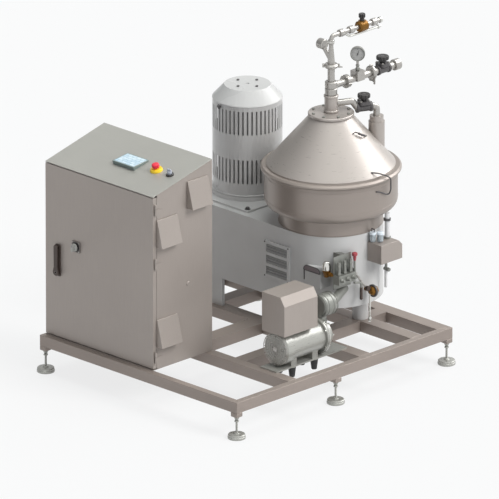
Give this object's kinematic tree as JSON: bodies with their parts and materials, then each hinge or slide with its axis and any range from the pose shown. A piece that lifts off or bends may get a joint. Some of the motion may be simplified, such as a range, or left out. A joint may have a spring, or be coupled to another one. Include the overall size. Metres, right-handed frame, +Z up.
{
  "type": "skimmer centrifuge",
  "caption": "Skid-mounted skimming separator: bowl casing with a conical hood, upright drive motor, operator cabinet, pump and pipework on a tube frame.",
  "frame": {"origin": "on the floor, under the middle of the whole outline", "axes": "+Z up, +X along the front of the skid towards the pump side, +Y from the operator's side to the rear"},
  "size_m": [1.512, 1.7929, 1.847],
  "materials": {
    "frame_steel": "satin brushed stainless tube",
    "foot_steel": "turned stainless",
    "cabinet_steel": "satin stainless sheet",
    "black_plastic": "moulded, matte",
    "grey_plastic": "moulded, matte",
    "screen_panel": "screen in a light bezel",
    "yellow_plastic": "moulded",
    "red_plastic": "moulded",
    "drive_paint": "grey enamel",
    "bowl_steel": "satin stainless",
    "hood_steel": "polished satin stainless",
    "pipe_steel": "polished stainless pipe",
    "valve_grey": "dark grey enamel",
    "brass": "cast brass",
    "gauge_steel": "stainless case with a pale dial",
    "box_steel": "satin stainless sheet",
    "clear_bowl": "clear moulded bowls",
    "pump_steel": "satin stainless",
    "pump_box_steel": "satin stainless sheet"
  },
  "bodies": {
    "skid": {"beams_front": "frame_steel", "beams_middle": "frame_steel", "beams_rear": "frame_steel", "bowl_drum": "bowl_steel", "button_collars": "yellow_plastic", "cabinet_back": "cabinet_steel", "cabinet_floor": "cabinet_steel", "cabinet_left_side": "cabinet_steel", "cabinet_right_side": "cabinet_steel", "cabinet_top": "cabinet_steel", "cross_rail_front": "frame_steel", "cross_rail_middle": "frame_steel", "cross_rail_rear": "frame_steel", "door_hinges": "cabinet_steel", "drive_housing": "drive_paint", "drive_louvre": "drive_paint", "feed_pipe": "pipe_steel", "filter_bowls": "clear_bowl", "hood_cone": "hood_steel", "hood_flange": "hood_steel", "hood_nozzle": "hood_steel", "housing_hatch": "drive_paint", "housing_legs": "drive_paint", "levelling_feet": "foot_steel", "motor_body": "drive_paint", "motor_cap": "drive_paint", "motor_cover": "drive_paint", "motor_plate": "drive_paint", "outlet_line": "pipe_steel", "outlet_valve": "valve_grey", "pressure_gauge": "gauge_steel", "pump_control_box": "pump_box_steel", "pump_head": "pump_steel", "pump_motor": "pump_steel", "pump_pipe": "pipe_steel", "pump_plate": "pump_steel", "rail_back": "frame_steel", "rail_front": "frame_steel", "rail_left": "frame_steel", "rail_right": "frame_steel", "return_line": "pipe_steel", "return_valve": "valve_grey", "rim_clamp": "bowl_steel", "side_box": "box_steel", "strainer": "brass", "touch_screen": "screen_panel", "vent_hoods": "cabinet_steel", "water_line": "pipe_steel", "water_manifold": "pipe_steel", "water_regulator": "brass", "water_valve": "brass"},
    "door": {"cabinet_door": "cabinet_steel", "door_plates": "black_plastic"},
    "handle": {"door_handle": "black_plastic"},
    "main_switch": {"main_switch_knob": "grey_plastic"},
    "stop_button": {"stop_button": "red_plastic"},
    "selector": {"selector_knob": "black_plastic"},
    "outlet_knob": {"outlet_valve_knob": "black_plastic"},
    "return_knob": {"return_valve_knob": "black_plastic"},
    "water_knob": {"water_valve_knob": "black_plastic"}
  },
  "joints": [
    {"name": "door_hinge", "type": "hinge", "parent": "skid", "child": "door", "pos_m": [0.086, -0.8215, 0.705], "axis": [0, 0, 1], "range_deg": [0, 110]},
    {"name": "handle_turn", "type": "hinge", "parent": "door", "child": "handle", "pos_m": [-0.625, -0.8345, 0.578], "axis": [0, 1, 0], "range_deg": [0, 90]},
    {"name": "main_switch_turn", "type": "hinge", "parent": "door", "child": "main_switch", "pos_m": [-0.49, -0.8345, 0.75], "axis": [0, -1, 0], "range_deg": [-90, 0]},
    {"name": "stop_press", "type": "slide", "parent": "skid", "child": "stop_button", "axis": [0, 0.2294, -0.9733], "range_m": [0, 0.005], "stiffness_N_per_m": 400},
    {"name": "selector_turn", "type": "hinge", "parent": "skid", "child": "selector", "pos_m": [-0.006, -0.624, 1.21861], "axis": [0, -0.2294, 0.9733], "range_deg": [-45, 45]},
    {"name": "outlet_knob_turn", "type": "hinge", "parent": "skid", "child": "outlet_knob", "pos_m": [0.173, 0.7765, 1.499], "axis": [0, 0, 1], "range_deg": [0, 720]},
    {"name": "return_knob_turn", "type": "hinge", "parent": "skid", "child": "return_knob", "pos_m": [0.2522, 0.55638, 1.362], "axis": [0, 0, 1], "range_deg": [0, 720]},
    {"name": "water_knob_turn", "type": "hinge", "parent": "skid", "child": "water_knob", "pos_m": [0.173, 0.6215, 1.778], "axis": [0, 0, 1], "range_deg": [0, 720]}
  ]
}
